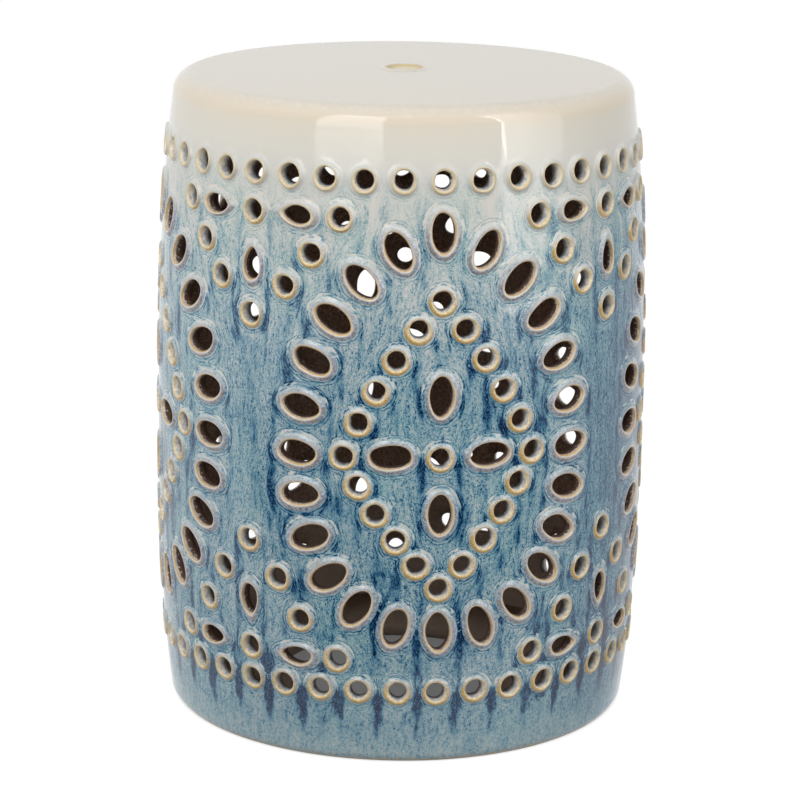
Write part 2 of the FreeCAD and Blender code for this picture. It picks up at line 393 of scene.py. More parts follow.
def glaze_values(side, level):
    """What the glaze reads at spots between the collars."""
    found = [foot_tree.find(Vector((x, y, 0.0))) for x, y in zip(side, level)]
    owner = np.array([index for _, index, _ in found], dtype=int)
    beside = shortest(side - centres[owner, 0])
    return {
        "clear": [gap for _, _, gap in found],
        "under": np.clip((centres[owner, 1] - level) / halves[owner, 1], -1.0, 1.0),
        "across": np.clip(beside / halves[owner, 0], -1.0, 1.0),
        "run": dark_run(side, level),
        "small": are_round[owner],
        "bend": side_push(side, level),
    }


def on_wall(side, level, height=0.0):
    """Points on the outside of the wall, a height above the bare surface."""
    angle = side / PER_RADIAN
    return around(angle, bare_radius(level) + hand_made(angle, level) + height, level)


def on_lining(side, level):
    return around(side / PER_RADIAN, inner_radius(level), level)


def new_object(name, data):
    made = bpy.data.objects.new(name, data)
    bpy.context.scene.collection.objects.link(made)
    return made


class Sheet:
    """Vertices, faces and what the glaze reads at each vertex."""

    def __init__(self):
        self.points, self.values, self.faces, self.finish = [], [], [], []
        self.count = 0

    def add(self, points, **values):
        """Adds vertices with some of VALUES, the others being 0, and gives their ids."""
        rows = np.zeros((len(points), len(VALUES)))
        for name, value in values.items():
            rows[:, VALUES.index(name)] = value
        self.points.append(np.asarray(points, dtype=float))
        self.values.append(rows)
        self.count += len(points)
        return np.arange(self.count - len(points), self.count)

    def cover(self, faces, finish=GLAZED):
        self.faces += [list(map(int, face)) for face in faces]
        self.finish += [finish] * len(faces)

    def band(self, first, second, finish=GLAZED):
        """Four-sided faces between two closed rings of vertices."""
        corners = (first, np.roll(first, -1), np.roll(second, -1), second)
        self.cover(np.stack(corners, 1), finish)

    def make(self, name, materials, crease_levels):
        """The finished object, in metres, smooth but for creases at the levels given."""
        points = np.concatenate(self.points)
        values = np.concatenate(self.values)
        mesh = bpy.data.meshes.new(name)
        mesh.from_pydata((points * MM).tolist(), [], self.faces)
        for index, value_name in enumerate(VALUES):
            layer = mesh.attributes.new(value_name, "FLOAT", "POINT")
            layer.data.foreach_set("value", values[:, index].astype(np.float32))
        for material in materials:
            mesh.materials.append(material)
        mesh.polygons.foreach_set("material_index", self.finish)
        shape = bmesh.new()
        shape.from_mesh(mesh)
        bmesh.ops.recalc_face_normals(shape, faces=shape.faces)
        shape.to_mesh(mesh)
        shape.free()
        mesh.shade_smooth()
        levels = points[:, 2].tolist()
        for edge in mesh.edges:
            first, second = [levels[vertex] for vertex in edge.vertices]
            if first == second and any(abs(first - level) < 0.001 for level in crease_levels):
                edge.use_edge_sharp = True
        return new_object(name, mesh)


def inside(spots, loop):
    """Which spots lie inside a closed loop, by counting crossings."""
    x, y = spots[:, 0][:, None], spots[:, 1][:, None]
    x0, y0 = loop[:, 0][None, :], loop[:, 1][None, :]
    x1, y1 = np.roll(loop[:, 0], -1)[None, :], np.roll(loop[:, 1], -1)[None, :]
    crosses = (y0 > y) != (y1 > y)
    rise = np.where(y1 == y0, 1.0, y1 - y0)
    where = (x1 - x0) * (y - y0) / rise + x0
    return np.sum(crosses & (x < where), 1) % 2 == 1


def grid_points(low, high, spacing, thin_out):
    """Staggered points in a strip; where thin_out says so, only one in four is kept."""
    row_gap = spacing * math.sqrt(3.0) / 2.0
    columns = np.arange(low + spacing * 0.8, high - spacing * 0.75, spacing)
    rows = np.arange(WALL_BOTTOM + row_gap * 0.9, WALL_TOP - row_gap * 0.7, row_gap)
    row, column = np.meshgrid(np.arange(len(rows)), np.arange(len(columns)), indexing="ij")
    side = columns[column] + spacing * 0.5 * (row % 2) - spacing * 0.25
    spots = np.stack([side.ravel(), rows[row].ravel()], 1)
    if not thin_out:
        return spots
    coarse = ((row % 2 == 0) & (column % 2 == (row // 2) % 2)).ravel()
    near = np.array([foot_tree.find(Vector((x, y, 0.0)))[2] < 2.0 * spacing for x, y in spots])
    return spots[coarse | near | (dark_run(spots[:, 0], spots[:, 1]) > 0.04)]


def fill_strip(sheet, low, steps, edge, spacing, weld, place, finish):
    """Covers a quarter of the drum between the loops of vertices that its openings have
    there: their feet or their mouths."""

    def add(spots):
        values = glaze_values(*spots.T) if finish == GLAZED else {}
        return sheet.add(place(*spots.T), **values)

    high = low + FULL_TURN / MEDALLIONS
    members = [opening for opening in openings if low <= opening["centre"][0] < high]
    loops = [opening[edge] for opening in members]
    across = np.linspace(low, high, steps + 1)
    level_steps = int(round((WALL_TOP - WALL_BOTTOM) / spacing))
    ups = np.linspace(WALL_BOTTOM, WALL_TOP, level_steps + 1)
    border = [(x, WALL_BOTTOM) for x in across[:-1]] + [(high, y) for y in ups[:-1]]
    border += [(x, WALL_TOP) for x in across[:0:-1]] + [(low, y) for y in ups[:0:-1]]
    border = np.array(border)
    fill = grid_points(low, high, spacing, finish == GLAZED)
    keep = np.ones(len(fill), dtype=bool)
    for loop in loops:
        centre = loop.mean(0)
        reach = np.hypot(*(loop - centre).T).max() + spacing
        near = np.where(np.hypot(*(fill - centre).T) < reach)[0]
        if len(near):
            gap = np.hypot(*(fill[near][:, None, :] - loop[None, :, :]).transpose(2, 0, 1))
            keep[near[(gap.min(1) < spacing * 0.5) | inside(fill[near], loop)]] = False
    fill = fill[keep]
    groups = [border, *loops, fill]
    owner = np.concatenate([np.full(len(group), i) for i, group in enumerate(groups)])
    edges, start = [], 0
    for group in groups[:-1]:
        count = len(group)
        edges += [(start + i, start + (i + 1) % count) for i in range(count)]
        start += count
    flat = np.concatenate(groups)
    made = geometry.delaunay_2d_cdt([Vector(spot) for spot in flat], edges, [], 1, 1e-6)
    source = np.array([origin[0] for origin in made[3]])
    triangles = source[np.array(made[2])]
    # Triangles that lie in a hole have all their corners on its loop
    first, second, third = owner[triangles].T
    on_loop = (first == second) & (second == third) & (first > 0) & (first < len(groups) - 1)
    drop = np.zeros(len(triangles), dtype=bool)
    for index in np.where(on_loop)[0]:
        middle = flat[triangles[index]].mean(0)
        drop[index] = inside(middle[None, :], groups[first[index]])[0]
    # Strips share the vertices where they meet, which are found by their place
    keys = [(round((x - LEFT_END) / FULL_TURN * 1e6) % 1000000, round(y, 2)) for x, y in border]
    fresh = [i for i, key in enumerate(keys) if key not in weld]
    for i, new_id in zip(fresh, add(border[fresh])):
        weld[keys[i]] = new_id
    loop_ids = [opening[edge + "_ids"] for opening in members]
    ids = np.concatenate([[weld[key] for key in keys], *loop_ids, add(fill)])
    sheet.cover(ids[triangles[~drop]], finish)
    bottom = ids[:steps + 1]
    top = ids[steps + level_steps:2 * steps + level_steps + 1][::-1]
    return bottom, top


def close_end(sheet, outer, inner):
    """Flat faces between the outer and the inner edge of the sheet."""
    share = (len(outer) - 1) // (len(inner) - 1)
    for i in range(len(inner) - 1):
        edge = list(outer[i * share:(i + 1) * share + 1])
        sheet.cover([edge + [inner[i + 1], inner[i]]], RAW)


def add_opening(sheet, opening):
    """A collar and its hole, from the foot of the collar to the mouth in the lining."""
    lip, foot, centre = opening["lip"], opening["foot"], opening["centre"]
    width = np.hypot(*(foot - lip).T)
    small = opening["kind"] == "round"
    same = {
        "under": np.clip((centre[1] - foot[:, 1]) / opening["half"][1], -1.0, 1.0),
        "across": np.clip((foot[:, 0] - centre[0]) / opening["half"][0], -1.0, 1.0),
        "small": float(small),
    }
    rings = []
    for share, lift in COLLAR_RINGS:
        flat = foot + (lip - foot) * share
        taller = 1.0 + TALLER_BY * np.clip((flat[:, 1] - TALLER_FROM) / TALLER_OVER, 0.0, 1.0)
        points = on_wall(*flat.T, RELIEF * lift * taller)
        rings.append(sheet.add(points, rise=share, clear=-share * width, bend=side_push(*flat.T), **same))
    turn = centre[0] / PER_RADIAN
    outward = np.array([math.sin(turn), -math.cos(turn), 0.0])
    sideways = np.array([math.cos(turn), math.sin(turn), 0.0])
    side, out, level = points @ sideways, points @ outward, points[:, 2]
    middle = np.array([side.mean(), level.mean()])

    def ring_at(size, reach):
        x = middle[0] + (side - middle[0]) * size
        y = middle[1] + (level - middle[1]) * size
        spot = outward * reach(x, y)[:, None] + sideways * x[:, None]
        spot[:, 2] = y
        return spot

    step, size, mouth_size = HOLE_RINGS[small]
    ring = ring_at(size, lambda x, y: out - step)
    rings.append(sheet.add(ring, rise=1.0, clear=-width, depth=step / WALL, **same))
    mouth = ring_at(mouth_size, lambda x, y: np.sqrt(inner_radius(y) ** 2 - x ** 2))
    rings.append(sheet.add(mouth, rise=1.0, clear=-width, depth=1.0, **same))
    for first, second in zip(rings[:-1], rings[1:]):
        sheet.band(first, second)
    angle = np.arctan2(mouth[:, 0], -mouth[:, 1])
    angle = turn + (angle - turn + math.pi) % (2.0 * math.pi) - math.pi
    opening["mouth"] = np.stack([angle * PER_RADIAN, mouth[:, 2]], 1)
    opening["foot_ids"], opening["mouth_ids"] = rings[0], rings[-1]


def make_wall():
    """The pierced wall: outside, collars, holes and lining, as one closed body."""
    sheet = Sheet()
    for opening in openings:
        add_opening(sheet, opening)
    outer_weld, inner_weld = {}, {}
    for strip in range(MEDALLIONS):
        low = LEFT_END + strip * FULL_TURN / MEDALLIONS
        outer = fill_strip(sheet, low, QUARTER_STEPS, "foot", FINE_SPACING, outer_weld, on_wall, GLAZED)
        inner = fill_strip(sheet, low, INNER_STEPS, "mouth", INNER_SPACING, inner_weld, on_lining, RAW)
        for outer_edge, inner_edge in zip(outer, inner):
            close_end(sheet, outer_edge, inner_edge)
    return sheet


def turned(profile, steps):
    """A body of revolution. The closed profile lists (radius, level, finish, is outside),
    and the finish is that of the band from a point to the next."""
    sheet = Sheet()
    angle = math.radians(JOIN_ANGLE) + 2.0 * math.pi * np.arange(steps) / steps
    rings = []
    for radius, level, _, outside in profile:
        levels = np.full(steps, float(level))
        reach = np.full(steps, float(radius))
        if outside:
            reach = reach + hand_made(angle, levels)
        near = outside and level < WALL_TOP + SEAT_REACH
        values = glaze_values(angle * PER_RADIAN, levels) if near else {"clear": FAR_CLEAR}
        rings.append(sheet.add(around(angle, reach, levels), **values))
    for index, ring in enumerate(rings):
        sheet.band(ring, rings[(index + 1) % len(rings)], profile[index][2])
    return sheet


def arc(centre_radius, centre_level, radius, start, end, steps):
    for angle in np.radians(np.linspace(start, end, steps + 1)):
        yield centre_radius + radius * math.cos(angle), centre_level + radius * math.sin(angle)


def part(points, finish, outside=False):
    """Part of a profile, with one finish, on the outside or not."""
    return [(radius, level, finish, outside) for radius, level in points]


def make_seat():
    """Skirt, rolled shoulder, slightly domed top, finger hole and raw underside."""
    skirt = np.linspace(WALL_TOP, SHOULDER_LEVEL - 1.8, 7)
    roll_centre = SHOULDER_RADIUS - SHOULDER_ROLL
    profile = part([(bare_radius(z), z) for z in skirt], GLAZED, True)
    profile += part(arc(roll_centre, SHOULDER_LEVEL, SHOULDER_ROLL, 9, 90, 14), GLAZED, True)
    for share in np.linspace(0.0, 1.0, 9)[1:]:
        radius = roll_centre + (CENTRE_LAND - roll_centre) * share
        profile.append((radius, SEAT_TOP - SEAT_CROWN * (1.0 - share) ** 2, GLAZED, False))
    profile.append((FINGER_HOLE_RADIUS, SEAT_TOP, GLAZED, False))
    under_level = SEAT_TOP - SEAT_THICKNESS
    corner, fillet = 2.0, 9.0
    profile += part(arc(FINGER_HOLE_RADIUS + corner, under_level + corner, corner, 180, 270, 3), GLAZED)
    profile[-1] = profile[-1][:2] + (RAW, False)
    inner = float(inner_radius(WALL_TOP))
    profile += part(arc(inner - fillet, under_level - fillet - 1.5, fillet, 90, 0, 6), RAW)
    profile.append((inner, WALL_TOP, RAW, False))
    return turned(profile, STEPS)


def make_hoop():
    rounding = [(3.4, 0.0), (2.4, 0.5), (1.2, 1.7), (0.3, 3.2)]
    profile = part([(FOOT_RADIUS - inset, z) for inset, z in rounding], GLAZED, True)
    profile += part([(bare_radius(z), z) for z in np.linspace(5.0, WALL_BOTTOM, 13)], GLAZED, True)
    profile[-1] = profile[-1][:2] + (RAW, True)
    profile += part([(hoop_inside(z), z) for z in np.linspace(WALL_BOTTOM, 2.0, 8)], RAW)
    profile.append((hoop_inside(0.0) + 1.5, 0.0, RAW, False))
    return turned(profile, STEPS)


def make_floor_ring():
    corner = (FLOOR_TOP - FLOOR_LEVEL) * 0.4
    profile = [(hoop_inside(z) + 0.4, z) for z in (FLOOR_LEVEL, FLOOR_TOP)]
    profile += arc(FLOOR_OPENING_RADIUS + corner, FLOOR_TOP - corner, corner, 90, 180, 5)
    profile += arc(FLOOR_OPENING_RADIUS + corner, FLOOR_LEVEL + corner, corner, 180, 270, 5)
    return turned(part(profile, RAW), FLOOR_RING_STEPS)


def make_collar():
    """A low ring, from its foot over its crest to the edge of the finger hole."""
    rise = 0.6 * (HEIGHT - SEAT_TOP)
    outer = [(0.0, 0.0), (0.9, 0.08), (1.8, 0.28), (2.7, 0.56), (3.5, 0.74)]
    inner = [(1.8, 0.8), (1.0, 0.7), (0.3, 0.42), (0.0, 0.0)]
    profile = [(COLLAR_FOOT - inset, SEAT_TOP + rise * share) for inset, share in outer]
    profile += [(FINGER_HOLE_RADIUS + reach, SEAT_TOP + rise * share) for reach, share in inner]
    return turned(part(profile, GLAZED), COLLAR_STEPS)


# Node trees


def srgb(*colour):
    """Linear colour of an everyday 0-255 colour."""
    shares = [channel / 255.0 for channel in colour]
    linear = [s / 12.92 if s <= 0.04045 else ((s + 0.055) / 1.055) ** 2.4 for s in shares]
    return (*linear, 1.0)


def colours(*stops):
    """Stops of a ramp, from rows of a place and an everyday colour."""
    return [(place, srgb(*colour)) for place, *colour in stops]


def tints(*stops):
    """Stops of a ramp, from rows of a place and the factors that tint a colour."""
    return [(place, (*factors, 1.0)) for place, *factors in stops]


class Output:
    """An output socket, with short calls that add a node that works on it."""

    def __init__(self, tree, socket):
        self.tree, self.socket = tree, socket

    def __add__(self, other):
        return self.tree.math("ADD", self, other)

    def __sub__(self, other):
        return self.tree.math("SUBTRACT", self, other)

    def __mul__(self, other):
        return self.tree.math("MULTIPLY", self, other)

    def __truediv__(self, other):
        return self.tree.math("DIVIDE", self, other)

    def __abs__(self):
        return self.tree.math("ABSOLUTE", self)

    def at_least(self, other):
        return self.tree.math("MAXIMUM", self, other)

    def swing(self, amount):
        """A noise value about zero, times an amount."""
        return (self - 0.5) * amount

    def stretch(self, factors, shift=(0.0, 0.0, 0.0)):
        """A place times a factor along each axis, and shifted."""
        return self.tree.node("VectorMath", {0: self, 1: factors, 2: shift}, operation="MULTIPLY_ADD")

    def span(self, low, high, out_low=0.0, out_high=1.0, kind="LINEAR"):
        """The value on another scale, where low to high becomes out_low to out_high."""
        return self.tree.node("MapRange", {
            "Value": self, "From Min": low, "From Max": high, "To Min": out_low, "To Max": out_high,
        }, interpolation_type=kind)

    def ramp(self, stops):
        """A colour by stops of a place and either a colour or a grey level."""
        made = self.tree.new("ValToRGB", {"Fac": self})
        elements = made.color_ramp.elements
        while len(elements) < len(stops):
            elements.new(1.0)
        for element, (place, _) in zip(elements, stops):
            element.position = place
        for element, (_, colour) in zip(elements, stops):
            element.color = colour if isinstance(colour, tuple) else (colour, colour, colour, 1.0)
        return Output(self.tree, made.outputs["Color"])

    def by_height(self, stops):
        """A ramp whose places are heights in millimetres."""
        return (self / HEIGHT).ramp([(level / HEIGHT, colour) for level, colour in stops])


class Tree:
    """The nodes of one material or world."""

    def __init__(self, owner):
        owner.use_nodes = True
        self.owner = owner
        self.nodes, self.links = owner.node_tree.nodes, owner.node_tree.links
        self.nodes.clear()

    def new(self, kind, inputs=(), **settings):
        """A shader node, with its settings and what goes into it."""
        made = self.nodes.new("ShaderNode" + kind)
        for name, value in settings.items():
            setattr(made, name, value)
        for name, value in dict(inputs).items():
            self.fill(made.inputs[name], value)
        return made

    def fill(self, socket, value):
        if isinstance(value, Output):
            self.links.new(value.socket, socket)
        else:
            socket.default_value = value

    def node(self, kind, inputs=(), output=0, **settings):
        return Output(self, self.new(kind, inputs, **settings).outputs[output])

    def math(self, operation, first, second=0.0):
        return self.node("Math", {0: first, 1: second}, operation=operation)

    def noise(self, place, scale, detail=2.0, roughness=0.5, distortion=0.0):
        return self.node("TexNoise", {
            "Vector": place, "Scale": scale, "Detail": detail,
            "Roughness": roughness, "Distortion": distortion,
        })

    def mix(self, factor, first, second, blend="MIX"):
        made = self.new("Mix", data_type="RGBA", blend_type=blend)
        for socket, value in zip([s for s in made.inputs if s.enabled], (factor, first, second)):
            self.fill(socket, value)
        return Output(self, [s for s in made.outputs if s.enabled][0])

    def millimetres(self):
        """The place on the object, in millimetres."""
        return self.node("TexCoord", output="Object").stretch((1.0 / MM,) * 3)

    def along(self, axis, place):
        return self.node("SeparateXYZ", {0: place}, axis)

    def length(self, place):
        return self.node("VectorMath", {0: place}, "Value", operation="LENGTH")

    def bump(self, strength, height):
        return self.node("Bump", {"Strength": strength, "Distance": MM, "Height": height})

    def surface(self, shader, kind="OutputMaterial"):
        self.new(kind, {"Surface": shader})
        return self.owner

    def principled(self, inputs):
        return self.surface(self.node("BsdfPrincipled", inputs))


# The running glaze. Tone goes from the darkest, thickest cobalt runs to the pale ground.
GLAZE_TONES = colours(
    (0, 4, 24, 56), (0.1, 9, 41, 82), (0.2, 19, 64, 106), (0.3, 38, 87, 122),
    (0.4, 64, 111, 139), (0.5, 91, 134, 154), (0.6, 117, 154, 169), (0.7, 143, 170, 178),
    (0.8, 169, 184, 186), (0.9, 189, 199, 199), (1, 205, 207, 203),
)
# Colours of the collars, by the share of the way up. A round collar is golden on its lower left, with
# painted shade, and lilac grey on its upper right, with painted light.
SHADED_GOLDEN_RING = colours(
    (0, 104, 128, 146), (0.1, 160, 148, 126), (0.22, 196, 162, 100),
    (0.5, 206, 172, 108), (0.75, 218, 192, 136), (0.95, 230, 216, 186),
)
LIT_LILAC_RING = colours(
    (0, 104, 128, 146), (0.12, 158, 168, 178), (0.4, 188, 184, 184),
    (0.62, 208, 194, 170), (0.84, 222, 200, 154), (1, 232, 218, 190),
)
OVAL_RING = colours(
    (0, 84, 112, 138), (0.2, 134, 144, 160), (0.5, 168, 170, 178), (0.74, 208, 202, 194),
    (0.88, 208, 190, 158), (0.94, 200, 160, 96), (1, 206, 170, 110),
)
WHITE_RING = colours(
    (0, 198, 202, 199), (0.36, 206, 204, 196), (0.52, 202, 186, 152),
    (0.66, 206, 184, 140), (0.8, 214, 198, 162), (0.95, 230, 220, 198),
)
# Mottled slope of the oval collars, specks on the round ones, and slow changes of hue
OVAL_SLOPE = colours(
    (0, 60, 88, 124), (0.2, 116, 116, 122), (0.34, 176, 148, 106),
    (0.46, 128, 140, 160), (0.72, 160, 170, 184), (1, 206, 211, 217),
)
FLECKS = tints((0.0, 0.7, 0.66, 0.62), (0.4, 0.97, 0.95, 0.92), (1.0, 1.1, 1.14, 1.2))
HUES = tints((0.0, 0.93, 1.02, 1.0), (0.5, 1.0, 1.0, 1.0), (1.0, 1.04, 1.0, 1.0))
CLAY_TONES = colours((0, 108, 80, 64), (0.45, 142, 110, 90), (0.7, 164, 136, 116), (1, 190, 170, 150))

# By height in millimetres: the tone, the warmth of the pale glaze near the top, and
# the colour of the plain band and the seat
TONE = [
    (0, 0.76), (24, 0.71), (42, 0.68), (60, 0.69), (100, 0.69), (240, 0.71), (275, 0.72),
    (305, 0.745), (330, 0.8), (352, 0.86), (374, 0.91), (394, 0.95), (408, 0.99), (457, 1),
]
WARMTH = tints((0, 1.0, 1.0, 1.0), (290, 1.0, 1.0, 1.0), (380, 1.06, 0.985, 0.93))
BAND_COLOUR = colours(
    (0, 205, 206, 200), (406, 206, 206, 200), (424, 214, 210, 199), (438, 217, 210, 195),
    (445, 219, 206, 186), (450, 221, 211, 195), (453.5, 228, 221, 207), (457, 231, 224, 209),
)
# By height: how far the tone sways up and down, how busy the streaks are, where the
# cobalt gathers and how far it keeps to its runs, and how strong the fine lines are
SWAY = [(0, 0.1), (45, 0.3), (80, 1), (385, 1), (412, 0.25), (440, 0.08)]
BUSY = [
    (0, 0.5), (30, 0.8), (60, 1), (310, 1), (350, 0.75), (385, 0.4), (405, 0.1), (425, 0), (457, 0),
]
COBALT = [
    (0, 0), (11, 0), (20, 0.6), (34, 1), (130, 0.9), (190, 0.85), (250, 1),
    (325, 0.9), (350, 0.65), (380, 0.3), (400, 0.06), (410, 0),
]
RUN_HOLD = [(0, 0.92), (50, 0.82), (95, 0.62), (457, 0.58)]
LINES = [(0, 0), (35, 0.5), (70, 1), (320, 1), (360, 0.8), (390, 0.5), (412, 0.3), (425, 0)]
# By height: shares of the plain band's colour, of white rings and of the glaze's bumps
BAND = [(0, 0), (398, 0), (420, 1), (457, 1)]
WHITE_RINGS = [(0, 0), (366, 0), (398, 0.9), (457, 0.95)]
BUMPS = [(0, 1), (405, 1), (424, 0.25), (440, 0.12), (457, 0.08)]
# Heights, from and to, over which the top row of holes and the seat's own hole begin,
# and where the glaze was wiped off the foot
TOP_ROW_FROM = (395.0, 396.0)
SEAT_HOLE_FROM = (440.0, 441.0)
WIPED_FOOT = (2.6, 1.6)
# The finger hole's tan edge, as distances from its middle and heights
TAN_REACH = (14.6, 13.4)
TAN_RISE = (SEAT_TOP - 2.5, SEAT_TOP - 0.5)
# The flat of the seat is a little less glossy
FLAT_SEAT_FROM = (SEAT_EDGE - 1.2, SEAT_EDGE + 0.4)
FLAT_SEAT_ROUGHNESS = 0.16


class Glaze(Tree):
    """Nodes of the running glaze, with the places, vertex values and noises that its parts share."""

    def __init__(self, owner):
        super().__init__(owner)
        self.place = self.millimetres()
        self.x, self.z = self.along("X", self.place), self.along("Z", self.place)
        for name in VALUES:
            setattr(self, name, self.node("Attribute", output="Fac", attribute_name=name))
        # The runs bend round the collars. Noises there are drawn out downwards.
        inputs = {"Vector": self.place, "Angle": self.bend / PER_RADIAN}
        stream = self.node("VectorRotate", inputs, rotation_type="Z_AXIS")
        self.long = self.noise(stream.stretch((1, 1, 0.07)), 0.13)
        self.streak = self.noise(stream.stretch((1, 1, 0.22), (40, 7, 0)), 0.3, 4.0, 0.64)
        self.blot = self.noise(stream.stretch((1, 1, 0.42), (0, 90, 0)), 0.2, 4.0, 0.65)
        self.rain = self.noise(stream.stretch((1, 1, 0.7), (0, 0, 30)), 0.56, 2.0, 0.6, 0.3)
        self.patch = self.noise(stream.stretch((1, 1, 0.4), (70, 0, 0)), 0.045)
        self.cloud = self.noise(self.place.stretch((1, 1, 0.5)), 0.022)
        self.puff = self.noise(self.place.stretch((1, 1, 1), (9, 0, 50)), 0.09, 1.0)
        self.mottle = self.noise(self.place, 0.5, 3.0, 0.65)
        self.speck = self.noise(self.place, 1.05, 2.0, 0.6)


def streaked_tone(g):
    """Tone of the runs by height, streaks and specks, and how busy they are at each spot."""
    sway = g.long.swing(90.0) + g.streak.swing(40.0) + g.cloud.swing(60.0)
    height = g.z + sway * g.z.by_height(SWAY)
    busy = height.by_height(BUSY)
    stir = g.streak.swing(0.56) + g.rain.swing(1.0) + g.speck.swing(1.1)
    stir = stir + g.long.swing(0.25) + g.blot.swing(0.6)
    stir = stir + stir.at_least(0.0) * -0.45
    # The right of the drum, as the camera sees it, is darker: painted shade where the light falls off.
    painted_shade_right = g.x.span(85.0, 165.0, 0.0, -0.32)
    open_ground = g.clear.span(3.0, 12.0, 0.01, -0.06)
    return height.by_height(TONE) + stir * busy * 1.25 + (painted_shade_right + open_ground) * busy, busy


def gathered_cobalt(g):
    """Cobalt that gathers beside and under the collars, in ragged blotches."""
    near = g.run * g.z.by_height(RUN_HOLD) + g.patch.span(0.5, 0.66, 0.0, 0.4)
    ragged = near + g.blot.swing(2.4) + g.rain.swing(1.5) + g.speck.swing(1.0)
    gather = ragged.span(0.32, 0.58, 0.0, 0.2) + ragged.span(0.54, 0.68, 0.0, 0.5)
    grainy = (g.speck + g.rain.swing(0.8)).span(0.36, 0.62, 1.15, 0.6)
    return gather * grainy * g.z.by_height(COBALT)


def fine_lines(g):
    """Two fine dark lines that wander along the foot of each collar."""
    wander = g.blot.span(0.3, 0.7, 0.2, 1.9)
    first = abs(g.clear - wander).span(0.85, 0.15)
    first = first * (g.streak + g.speck.swing(0.7)).span(0.38, 0.56, 0.1, 1.0)
    second = abs(g.clear - (wander + 1.9)).span(0.65, 0.1)
    second = second * (g.rain + g.streak.swing(1.0)).span(0.42, 0.6, 0.0, 0.9)
    return (first + second) * g.z.by_height(LINES) * 0.44


def pale_hoods_and_glints(g):
    """Pale glaze over the upper shoulders of the collars, partly thick glaze and partly painted highlights
    of the lamps.
    """
    hood = g.clear.span(2.7, 2.0) * g.clear.span(0.1, 0.7)
    shoulders = g.under.span(0.0, -0.4) * abs(g.across).span(0.12, 0.35)
    thick_and_glinting = (g.puff + g.streak.swing(0.8) + g.rain.swing(0.7) + g.across * 0.05).span(0.47, 0.6)
    return hood * shoulders * thick_and_glinting * 0.55


def ground_colour(g, tone, busy):
    """Colour between the collars."""
    colour = tone.ramp(GLAZE_TONES)
    hue = (g.cloud + g.rain.swing(0.5)).span(0.3, 0.7).ramp(HUES)
    colour = g.mix(busy, colour, g.mix(1.0, colour, hue, "MULTIPLY"))
    colour = g.mix(1.0, colour, g.z.by_height(WARMTH), "MULTIPLY")
    return g.mix(g.z.by_height(BAND), colour, (g.z + g.streak.swing(8.0)).by_height(BAND_COLOUR))


def ring_colour(g, way_up, tone):
    """Colour of a collar: a round one is golden at its lower left, as painted shade, and lilac grey at its
    upper right, as painted light, over its own golden and lilac glaze.
    """
    # The lower left of a round collar is painted in shade and its upper right in light, as if lit from the
    # upper right; the oval slopes get a faint touch of the same.
    painted_shade_side = g.under * 0.5 + g.across * -0.35 + g.mottle.swing(3.0)
    round_ring = g.mix(painted_shade_side.span(-0.5, 0.25), way_up.ramp(LIT_LILAC_RING), way_up.ramp(SHADED_GOLDEN_RING))
    flecks = g.noise(g.place.stretch((1, 1, 1), (5, 5, 5)), 0.75, 2.0, 0.7)
    round_ring = g.mix(1.0, round_ring, flecks.span(0.34, 0.66).ramp(FLECKS), "MULTIPLY")
    slope = (g.mottle + painted_shade_side * -0.03).span(0.34, 0.66).ramp(OVAL_SLOPE)
    oval_ring = g.mix(way_up.span(0.74, 0.5, 0.0, 0.85), way_up.ramp(OVAL_RING), slope)
    ring = g.mix(g.small, oval_ring, round_ring)
    ring = g.mix(g.z.by_height(WHITE_RINGS), ring, way_up.ramp(WHITE_RING))
    flooded = g.under.span(0.1, -0.9) * way_up.span(0.75, 0.35)
    flooded = flooded * (g.z + g.mottle.swing(400.0)).span(100.0, 330.0, 0.65, 0.85)
    return g.mix(flooded, ring, (tone + 0.08).ramp(GLAZE_TONES))


def hole_colour(g):
    """Pale glaze with blue pools that turns blue grey deeper in the hole, partly glaze and partly
    painted shade of the recess, and the bare clay at the hole's inner edge, which is near the lip
    in the large holes."""
    pools = g.noise(g.place.stretch((1, 1, 0.7)), 0.34, 3.0, 0.6) + g.under.span(-1.0, 1.0, -0.04, 0.08)
    colour = g.mix(pools.span(0.5, 0.62, 0.0, 0.75), srgb(232, 223, 210), srgb(146, 162, 178))
    # Blue grey deeper in the hole: part glaze, part painted shade.
    colour = g.mix(g.depth.span(0.3, 0.8, 0.0, 0.75), colour, srgb(112, 122, 132))
    colour = g.mix(g.z.span(*SEAT_HOLE_FROM), colour, srgb(236, 226, 203))
    glazed = g.small.span(0.0, 1.0, 0.16, 0.86).at_least(g.z.span(*TOP_ROW_FROM, 0.0, 0.86))
    glazed = glazed.at_least(g.mottle.span(0.56, 0.62, 0.0, 0.6))
    bare = (g.depth + g.speck.swing(0.25) - glazed).span(-0.04, 0.1)
    return g.mix(bare, colour, srgb(98, 72, 56)), bare


